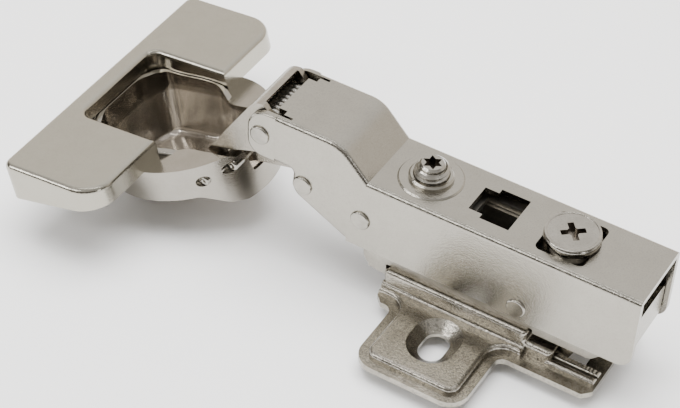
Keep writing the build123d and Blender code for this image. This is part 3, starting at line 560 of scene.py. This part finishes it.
class Finish(Enum):
    """The hinge's finishes, each with the record's material slot that it belongs to."""

    PLATE = ("plate_nickel", PlatedSteel(
        "plate_nickel", (0.46, 0.432, 0.375), (0.33, 0.307, 0.262), 0.2, speckle=0.42,
        fleck=Pattern(1920.0, 2.0, 0.6), peel=Pattern(2400.0, 3.0, 0.6), peel_height=0.00007))
    INNER = ("inner_nickel", PlatedSteel(
        "inner_nickel", (0.46, 0.435, 0.385), (0.36, 0.338, 0.295), 0.4, speckle=0.15))
    ARM = ("arm_nickel", PlatedSteel(
        "arm_nickel", (0.405, 0.384, 0.337), (0.378, 0.357, 0.311), 0.2, speckle=0.09,
        peel_height=0.00004))
    # the screws' recesses carry painted shade
    DEPTH_SCREW = ("screw_nickel", RecessedSteel(
        "depth_screw_nickel", (0.43, 0.409, 0.366), (0.35, 0.329, 0.29), 0.17, speckle=0.12,
        grain_stretch=(900.0, 900.0, 900.0), peel_height=0.00003,
        recess_at=(17.57, 0.0), recess_top=27.09))
    SIDE_SCREW = ("screw_nickel", RecessedSteel(
        "side_screw_nickel", (0.43, 0.409, 0.366), (0.35, 0.329, 0.29), 0.17, speckle=0.12,
        grain_stretch=(900.0, 900.0, 900.0), peel_height=0.00003,
        recess_at=(-11.53, 0.0), recess_top=29.2, recess_reach=2.25))
    LINK = ("link_nickel", PlatedSteel(
        "link_nickel", (0.40, 0.374, 0.326), (0.33, 0.305, 0.262), 0.17, speckle=0.16,
        peel_height=0.00004))
    # the cup carries painted light on its well's walls and painted shade on its floor
    CUP = ("cup_nickel", CupSteel(
        "cup_nickel", (0.35, 0.328, 0.289), (0.31, 0.289, 0.252), 0.15,
        grain_stretch=(900.0, 900.0, 300.0), peel_height=0.00002))
    COVER = ("cover_nickel", PlatedSteel(
        "cover_nickel", (0.425, 0.402, 0.343), (0.405, 0.382, 0.324), 0.2, peel_height=0.00002))
    PIN = ("pin_steel", DrawnWire("pin_steel", (0.40, 0.38, 0.335), 0.22))
    SPRING = ("spring_steel", DrawnWire("spring_steel", (0.50, 0.48, 0.44)))
    DAMPER = ("damper_plastic", MouldedPlastic("damper_plastic"))

    @property
    def slot(self) -> str:
        """The record's slot."""
        return self.value[0]

    def make(self) -> bpy.types.Material:
        """Builds the finish's material."""
        return self.value[1].make()


class Palette:
    """Makes each finish once and gives it to the pieces."""

    def __init__(self) -> None:
        """Builds every finish's material."""
        self.materials = {finish: finish.make() for finish in Finish}

    def paint(self, piece: bpy.types.Object, finish: Finish) -> None:
        """Gives a piece one finish.

        Args:
            piece: a node or a new piece.
            finish: its finish.
        """
        if not piece.material_slots:
            piece.data.materials.append(self.materials[finish])
        for slot in piece.material_slots:
            slot.material = self.materials[finish]


def to_object(name: str, shape: bmesh.types.BMesh) -> bpy.types.Object:
    """Puts a bmesh into the scene as an object at the origin.

    Args:
        name: the object's name.
        shape: its mesh, in metres, in the hinge's frame; it is freed here.

    Returns:
        The new object.
    """
    mesh = bpy.data.meshes.new(name)
    shape.to_mesh(mesh)
    shape.free()
    made = bpy.data.objects.new(name, mesh)
    bpy.context.scene.collection.objects.link(made)
    return made


@dataclass
class Workshop:
    """The frame's nodes and the palette, which every sub-assembly works with."""

    nodes: dict
    palette: Palette

    def dress(self, names: Iterable[str], finish: Finish) -> None:
        """Paints nodes of the frame.

        Args:
            names: the nodes' names.
            finish: their finish.
        """
        for name in names:
            self.palette.paint(self.nodes[name], finish)
            log.info("dressed %s in %s", name, finish.slot)

    def piece(self, name: str, shape: bmesh.types.BMesh, body: str, finish: Finish,
              smooth_angle: float = 40.0) -> None:
        """Turns a bmesh into a piece that rides on a body.

        Args:
            name: the piece's name.
            shape: its mesh, in metres, in the hinge's frame; it is freed here.
            body: the body it rides on.
            finish: its finish.
            smooth_angle: the edge angle in degrees below which faces blend.
        """
        made = to_object(name, shape)
        made.data.shade_smooth()
        made.data.set_sharp_from_angle(angle=math.radians(smooth_angle))
        self.palette.paint(made, finish)
        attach(made, body)
        finish.slot
        log.info("made %s with %d faces", name, len(made.data.polygons))


def lathe(profile: Iterable[Pair], centre: Pair, steps: int = 96) -> bmesh.types.BMesh:
    """Turns a closed profile about an upright axis.

    Args:
        profile: the corners in order, as radius and height in millimetres, clear of the axis.
        centre: the axis's x and y in millimetres.
        steps: the number of segments round the axis.

    Returns:
        The turned ring, closed, in metres.
    """
    merge_distance = 0.002 * MM
    shape = bmesh.new()
    corners = [shape.verts.new(metres((centre[0] + radius, centre[1], height)))
               for radius, height in profile]
    edges = [shape.edges.new(pair) for pair in zip(corners, corners[1:] + corners[:1])]
    bmesh.ops.spin(shape, geom=corners + edges, cent=metres((*centre, 0.0)), axis=(0.0, 0.0, 1.0),
                   angle=math.tau, steps=steps, use_merge=True)
    bmesh.ops.remove_doubles(shape, verts=shape.verts, dist=merge_distance)
    bmesh.ops.recalc_face_normals(shape, faces=shape.faces)
    return shape


# ---------------------------------------------------------------- sub-assemblies


@dataclass
class MountingPlate:
    """The winged plate that is screwed to the cabinet panel.

    Each tooth rises over the first share of the pitch, is level to the second and falls after it.
    """

    shop: Workshop
    bead_middle: float = 6.3
    bead_top: float = 2.2
    teeth_start: float = 20.6
    teeth_sink: float = 0.2
    tooth_pitch: float = 0.72
    tooth_count: int = 11
    tooth_rise: float = 0.17
    tooth_width: float = 0.95
    tooth_shares: Pair = (0.3, 0.55)
    tooth_smooth: float = 25.0

    def build(self) -> None:
        """Dresses the plate and sets the teeth on its tail."""
        self.shop.dress(["mounting_plate"], Finish.PLATE)
        self.make_teeth()

    def make_teeth(self) -> None:
        """Raises a row of fine teeth along the inner bead of each side of the tail."""
        top = self.bead_top
        foot, tip = top - self.teeth_sink, top + self.tooth_rise
        rises, falls = (share * self.tooth_pitch for share in self.tooth_shares)
        end = self.teeth_start + self.tooth_count * self.tooth_pitch
        outline = [(self.teeth_start, foot)]
        for tooth in range(self.tooth_count):
            root = self.teeth_start + tooth * self.tooth_pitch
            outline += [(root, top), (root + rises, tip), (root + falls, tip)]
        outline += [(end, top), (end, foot)]
        side = self.bead_middle - self.tooth_width / 2
        shape = bmesh.new()
        face = shape.faces.new([shape.verts.new(metres((along, side, height)))
                                for along, height in outline])
        pulled = bmesh.ops.extrude_face_region(shape, geom=[face])["geom"]
        bmesh.ops.translate(shape, vec=(0.0, self.tooth_width * MM, 0.0),
                            verts=[part for part in pulled if isinstance(part, bmesh.types.BMVert)])
        bmesh.ops.mirror(shape, geom=[*shape.verts, *shape.edges, *shape.faces],
                         matrix=Matrix.Identity(4), merge_dist=0.0, axis="Y")
        bmesh.ops.recalc_face_normals(shape, faces=shape.faces)
        self.shop.piece("plate_tail_teeth", shape, "base", Finish.PLATE, self.tooth_smooth)


@dataclass
class ClipArm:
    """The cranked arm with its nested channels, release lever and rivets."""

    shop: Workshop

    def build(self) -> None:
        """Dresses the arm's pieces."""
        self.shop.dress(["arm", "side_nut", "clip_lever"], Finish.ARM)
        self.shop.dress(["carrier", "adjuster_bracket"], Finish.INNER)
        self.shop.dress(["lever_pin", "rear_rivet", "outer_link_pin", "inner_link_pin",
                         "damper_pin"], Finish.PIN)
        self.shop.dress(["lever_spring"], Finish.SPRING)


@dataclass
class Adjusters:
    """The two adjusting screws.

    The rim's profile is counted from the edge and top of the depth screw's head, and the collar's
    is its radius and its height from the head's foot.
    """

    shop: Workshop
    side_axis: Pair = (-11.53, 0.0)
    core_bore: float = 2.3
    core_above: float = 0.5
    core_chamfer: Pair = (0.32, 0.35)
    thread_crest: float = 3.3
    thread_root: float = 2.86
    thread_sink: float = 0.05
    thread_foot: float = 25.5
    thread_pitch: float = 1.0
    thread_turns: float = 2.3
    thread_flank: float = 0.42
    thread_tip: float = 0.06
    thread_steps: int = 64
    thread_smooth: float = 30.0
    depth_axis: Pair = (17.57, 0.0)
    head_edge: float = 5.23
    head_top: float = 27.09
    head_foot: float = 25.83
    rim_profile: tuple[Pair, ...] = ((-0.55, -0.05), (0.0, -0.12), (-0.02, 0.04), (-0.2, 0.12),
                                     (-0.36, 0.1), (-0.5, 0.01))
    collar_profile: tuple[Pair, ...] = ((3.85, 0.05), (4.3, 0.05), (4.06, -0.35), (4.08, -0.75),
                                        (4.18, -0.95), (4.3, -1.1), (4.3, -1.4), (4.15, -1.55),
                                        (3.85, -1.55))

    def build(self) -> None:
        """Dresses the screws and adds the one's thread and the other's rim and collar."""
        self.shop.dress(["side_screw"], Finish.SIDE_SCREW)
        self.shop.dress(["depth_screw"], Finish.DEPTH_SCREW)
        self.make_core()
        self.make_thread()
        self.make_rim()
        self.make_collar()

    def make_core(self) -> None:
        """Turns the core that the thread stands on, with a chamfer at its top."""
        bore, root, foot = self.core_bore, self.thread_root, self.thread_foot
        top = foot + self.thread_pitch * self.thread_turns + self.core_above
        inward, down = self.core_chamfer
        profile = [(bore, foot), (root, foot), (root, top - down), (root - inward, top),
                   (bore, top)]
        self.shop.piece("side_screw_core", lathe(profile, self.side_axis), "side_screw",
                        Finish.SIDE_SCREW)

    def make_thread(self) -> None:
        """Winds the thread's ridge round the core."""
        root, crest = self.thread_root - self.thread_sink, self.thread_crest
        half, tip = self.thread_flank * self.thread_pitch, self.thread_tip * self.thread_pitch
        across, along = self.side_axis
        start = self.thread_foot + half
        shape = bmesh.new()
        corners = [shape.verts.new(metres((across + radius, along, start + rise)))
                   for radius, rise in ((root, -half), (crest, -tip), (crest, tip), (root, half))]
        ridge = shape.faces.new(corners)
        steps = round(self.thread_steps * self.thread_turns)
        bmesh.ops.spin(shape, geom=[ridge, *ridge.edges, *corners],
                       cent=metres((across, along, 0.0)), axis=(0.0, 0.0, 1.0),
                       dvec=(0.0, 0.0, self.thread_pitch * self.thread_turns / steps * MM),
                       angle=math.tau * self.thread_turns, steps=steps)
        bmesh.ops.recalc_face_normals(shape, faces=shape.faces)
        self.shop.piece("side_screw_thread", shape, "side_screw", Finish.SIDE_SCREW,
                        self.thread_smooth)

    def make_rim(self) -> None:
        """Raises the low bead round the depth screw's head."""
        profile = [(self.head_edge + outward, self.head_top + rise)
                   for outward, rise in self.rim_profile]
        self.shop.piece("depth_screw_rim", lathe(profile, self.depth_axis), "depth_screw",
                        Finish.DEPTH_SCREW)

    def make_collar(self) -> None:
        """Turns the waist and the collar below the depth screw's head."""
        profile = [(radius, self.head_foot + rise) for radius, rise in self.collar_profile]
        self.shop.piece("depth_screw_collar", lathe(profile, self.depth_axis), "depth_screw",
                        Finish.DEPTH_SCREW)


@dataclass
class Linkage:
    """The two links, the closing spring, the damper and the cup's pins.

    The crown's profile is its radius and its height from the pin's end.
    """

    shop: Workshop
    crown_profile: tuple[Pair, ...] = ((0.22, -0.2), (1.02, -0.2), (1.02, 0.02), (0.8, 0.2),
                                       (0.5, 0.24), (0.22, 0.08))
    crown_steps: int = 40

    def build(self) -> None:
        """Dresses the linkage and upsets the ends of the cup's pins."""
        pins = ["cup_outer_pin", "cup_inner_pin"]
        self.shop.dress(["outer_link", "inner_link"], Finish.LINK)
        self.shop.dress(["closing_spring"], Finish.SPRING)
        self.shop.dress(["damper_cylinder"], Finish.DAMPER)
        self.shop.dress(["damper_rod", *pins], Finish.PIN)
        for pin in pins:
            for near in (True, False):
                self.make_pin_end(pin, near)

    def make_pin_end(self, pin: str, near: bool) -> None:
        """Upsets one end of a cup pin: a low crown with a centre dimple.

        Args:
            pin: the pin's node.
            near: whether it is the end towards -Y.
        """
        low, high = (Vector(corner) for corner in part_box(pin))
        shape = lathe(self.crown_profile, (0.0, 0.0), self.crown_steps)
        turn = math.pi / 2 if near else -math.pi / 2
        bmesh.ops.rotate(shape, verts=shape.verts, cent=(0.0, 0.0, 0.0),
                         matrix=Matrix.Rotation(turn, 3, "X"))
        middle = (low + high) / 2
        bmesh.ops.translate(shape, verts=shape.verts,
                            vec=(middle.x, low.y if near else high.y, middle.z))
        self.shop.piece(f"{pin}_{'near' if near else 'far'}_crown", shape, "cup", Finish.PIN)


@dataclass
class DoorCup:
    """The drawn cup with its push-fit cover."""

    shop: Workshop

    def build(self) -> None:
        """Dresses the cup."""
        self.shop.dress(["cup"], Finish.CUP)
        self.shop.dress(["cup_cover"], Finish.COVER)


# ---------------------------------------------------------------- studio


@dataclass(frozen=True)
class Softbox:
    """One area light that faces the hinge: its place, size, power and whether metal mirrors it."""

    name: str
    place: tuple[float, float, float]
    size: Pair
    power: float
    mirrored: bool = True


@dataclass
class Studio:
    """Floor, world, lights and camera.

    The room's bands are in the x (side), y (behind) and z (above) of the direction from which the
    light comes.
    """

    floor_gap: float = 0.0012
    floor_size: float = 6.0
    camera_place: tuple[float, float, float] = (0.1115266, -0.2567446, 0.2809385)
    camera_azimuth: float = 28.941
    camera_elevation: float = 42.828
    camera_roll: float = 3.276
    camera_clip: Pair = (0.01, 20.0)
    lens: float = 109.61
    room: float = 1.48
    near_wall: float = 0.15
    near_sky: float = 0.5
    behind_band: Pair = (0.02, 0.45)
    above_band: Pair = (0.36, 0.7)
    side_band: Pair = (-0.2, 0.9)
    side_dimming: float = 0.22
    tint_high: Colour = (1.0, 0.985, 0.96)
    tint_low: Colour = (1.0, 0.93, 0.84)
    aim: tuple[float, float, float] = (0.0, 0.0, 0.01)
    softboxes: tuple[Softbox, ...] = (
        Softbox("softbox_top", (-0.05, 0.05, 0.9), (0.9, 0.7), 19.0, mirrored=False),
        Softbox("strip_top", (0.0, -0.02, 0.8), (0.9, 0.05), 0.9),
        Softbox("softbox_near", (-0.33, -0.6, 0.64), (0.3, 0.16), 1.3),
        Softbox("softbox_left", (-0.68, -0.56, 0.48), (0.26, 0.26), 2.2),
        Softbox("softbox_right", (0.9, -0.35, 0.3), (0.12, 0.5), 0.9),
    )

    def build(self) -> None:
        """Sets everything up."""
        self.make_floor()
        self.make_world()
        for box in self.softboxes:
            self.make_softbox(box)
        self.make_camera()

    def make_floor(self) -> None:
        """Lays the pale floor just under the hinge."""
        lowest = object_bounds()[0][2]
        shape = bmesh.new()
        bmesh.ops.create_grid(shape, x_segments=2, y_segments=2, size=self.floor_size / 2)
        bmesh.ops.translate(shape, verts=shape.verts, vec=(0.0, 0.0, lowest - self.floor_gap))
        floor = to_object("studio_floor", shape)
        floor.data.materials.append(PaleFloor("floor_paint").make())
        floor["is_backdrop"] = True

    def make_world(self) -> None:
        """Fills the room with soft light: bright behind and overhead, dim on the near side."""
        world = bpy.data.worlds.new("studio_world")
        bpy.context.scene.world = world
        world.use_nodes = True
        graph = Graph(world.node_tree)
        side, depth, height = graph.axes(graph.wire("ShaderNodeTexCoord", output="Generated"))
        behind = depth.step(*self.behind_band)
        above = height.step(*self.above_band)
        light = behind + (1.0 - behind) * above * self.near_sky
        light = self.near_wall + (self.room - self.near_wall) * light
        light = light * (1.0 - self.side_dimming * side.step(*self.side_band))
        back = graph.tree.nodes["Background"]
        graph.join(back.inputs["Strength"], light)
        graph.join(back.inputs["Color"],
                   graph.blend(above, opaque(self.tint_low), opaque(self.tint_high)))

    def make_softbox(self, box: Softbox) -> None:
        """Hangs one area light.

        Args:
            box: its place, size and power, and whether the metal mirrors it.
        """
        light = bpy.data.lights.new(box.name, "AREA")
        light.shape = "RECTANGLE"
        light.size, light.size_y = box.size
        light.energy = box.power
        lamp = bpy.data.objects.new(box.name, light)
        lamp.location = box.place
        aim = Vector(self.aim) - Vector(box.place)
        lamp.rotation_euler = aim.to_track_quat("-Z", "Y").to_euler()
        lamp.visible_glossy = box.mirrored
        bpy.context.scene.collection.objects.link(lamp)

    def make_camera(self) -> None:
        """Places the camera at the viewing angle and makes it the scene's."""
        data = bpy.data.cameras.new("camera")
        data.lens = self.lens
        data.clip_start, data.clip_end = self.camera_clip
        camera = bpy.data.objects.new("camera", data)
        azimuth, elevation = math.radians(self.camera_azimuth), math.radians(self.camera_elevation)
        turn = (Matrix.Rotation(azimuth, 4, "Z") @ Matrix.Rotation(math.pi / 2 - elevation, 4, "X")
                @ Matrix.Rotation(math.radians(self.camera_roll), 4, "Z"))
        camera.matrix_world = Matrix.Translation(Vector(self.camera_place)) @ turn
        bpy.context.scene.collection.objects.link(camera)
        bpy.context.scene.camera = camera


def main() -> None:
    """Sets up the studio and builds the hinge's sub-assemblies in order."""
    logging.basicConfig(level=logging.INFO, format="%(name)s: %(message)s")
    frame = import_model()
    Studio().build()
    shop = Workshop(frame["nodes"], Palette())
    for part in (MountingPlate(shop), ClipArm(shop), Adjusters(shop), Linkage(shop), DoorCup(shop)):
        part.build()


if __name__ == "__main__":
    main()
